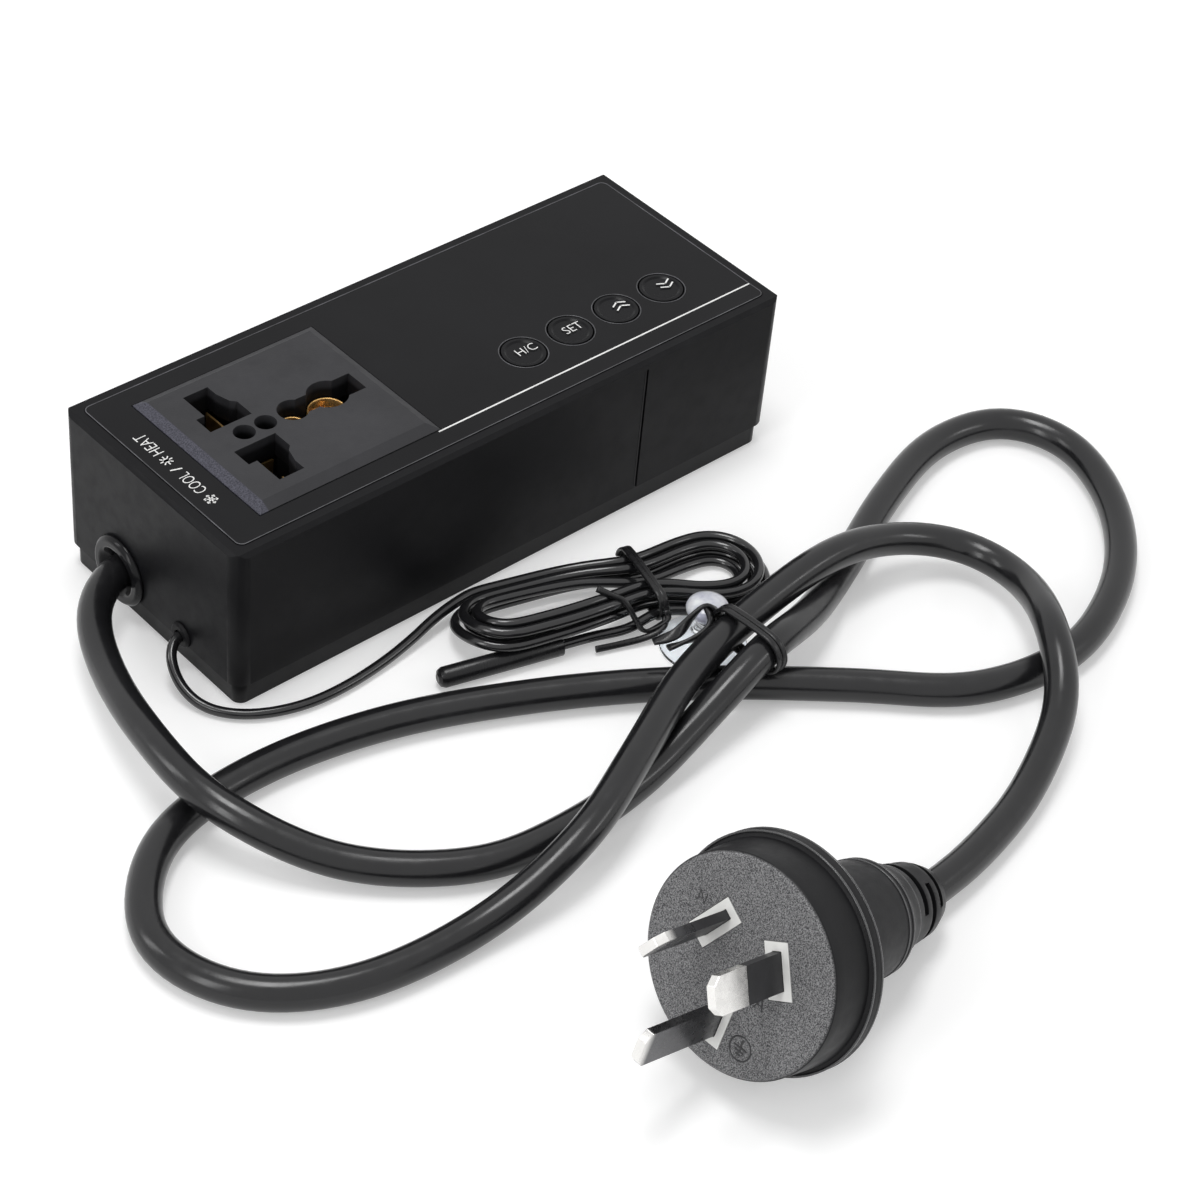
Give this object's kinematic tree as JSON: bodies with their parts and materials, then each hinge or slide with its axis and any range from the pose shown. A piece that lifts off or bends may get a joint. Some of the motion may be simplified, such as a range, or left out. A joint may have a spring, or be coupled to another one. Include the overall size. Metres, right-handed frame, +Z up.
{
  "type": "plug-in temperature controller",
  "caption": "Plug-in temperature controller: long black housing with a universal outlet and keys, a moulded three-blade plug on a cord, and a probe on a tied lead.",
  "frame": {"origin": "centre of the housing's bottom, cords and plug left out", "axes": "+X along the housing towards the end without cords, +Y across it away from the keys, +Z up out of the outlet"},
  "size_m": [0.2307, 0.1865, 0.0405],
  "materials": {
    "shell": "fine textured black",
    "shell_bottom": "fine textured black",
    "screw_steel": "zinc plated",
    "overlay": "glossy printed film",
    "plate": "satin grey",
    "inner_plastic": "plain",
    "contact_brass": "bright",
    "window": "smoked red",
    "board_green": "solder mask",
    "key": "satin",
    "plunger": "plain",
    "board_brown": "bare laminate",
    "relay_blue": "moulded",
    "core": "taped core",
    "capacitor": "sleeved",
    "terminal": "plain",
    "grommet": "glossy moulded",
    "cord_rubber": "satin",
    "tie": "coated wire",
    "plug_plastic": "moulded satin",
    "pad_white": "moulded white",
    "pin_metal": "bright nickel",
    "sleeve": "insulating sleeve",
    "probe": "smooth cap",
    "cup": "clear soft plastic"
  },
  "bodies": {
    "housing": {"upper_shell": "shell", "base_cover": "shell_bottom", "case_screws": "screw_steel", "top_overlay": "overlay", "outlet_plate": "plate", "outlet_housing": "inner_plastic", "contact_live": "contact_brass", "contact_neutral": "contact_brass", "contact_earth": "contact_brass", "outlet_screws": "screw_steel", "display_window": "window", "display_module": "inner_plastic", "control_board": "board_green", "tact_switches": "inner_plastic", "power_board": "board_brown", "relay": "relay_blue", "transformer": "core", "capacitors": "capacitor", "terminal_block": "terminal", "cord_grommet": "grommet", "cord_clamp": "inner_plastic", "clamp_screws": "screw_steel", "mains_cord": "cord_rubber", "mains_tie": "tie", "plug_body": "plug_plastic", "pin_carrier": "pad_white", "plug_pin_active": "pin_metal", "plug_pin_neutral": "pin_metal", "plug_pin_earth": "pin_metal", "pin_sleeves": "sleeve", "sensor_grommet": "grommet", "sensor_lead": "cord_rubber", "sensor_hank": "cord_rubber", "hank_tie": "tie", "sensor_probe": "probe", "suction_cup": "cup"},
    "mode_key": {"key_mode": "key", "plunger_mode": "plunger"},
    "set_key": {"key_set": "key", "plunger_set": "plunger"},
    "up_key": {"key_up": "key", "plunger_up": "plunger"},
    "down_key": {"key_down": "key", "plunger_down": "plunger"}
  },
  "joints": [
    {"name": "mode_press", "type": "slide", "parent": "housing", "child": "mode_key", "axis": [0, 0, -1], "range_m": [0, 0.0004], "stiffness_N_per_m": 300},
    {"name": "set_press", "type": "slide", "parent": "housing", "child": "set_key", "axis": [0, 0, -1], "range_m": [0, 0.0004], "stiffness_N_per_m": 300},
    {"name": "up_press", "type": "slide", "parent": "housing", "child": "up_key", "axis": [0, 0, -1], "range_m": [0, 0.0004], "stiffness_N_per_m": 300},
    {"name": "down_press", "type": "slide", "parent": "housing", "child": "down_key", "axis": [0, 0, -1], "range_m": [0, 0.0004], "stiffness_N_per_m": 300}
  ]
}
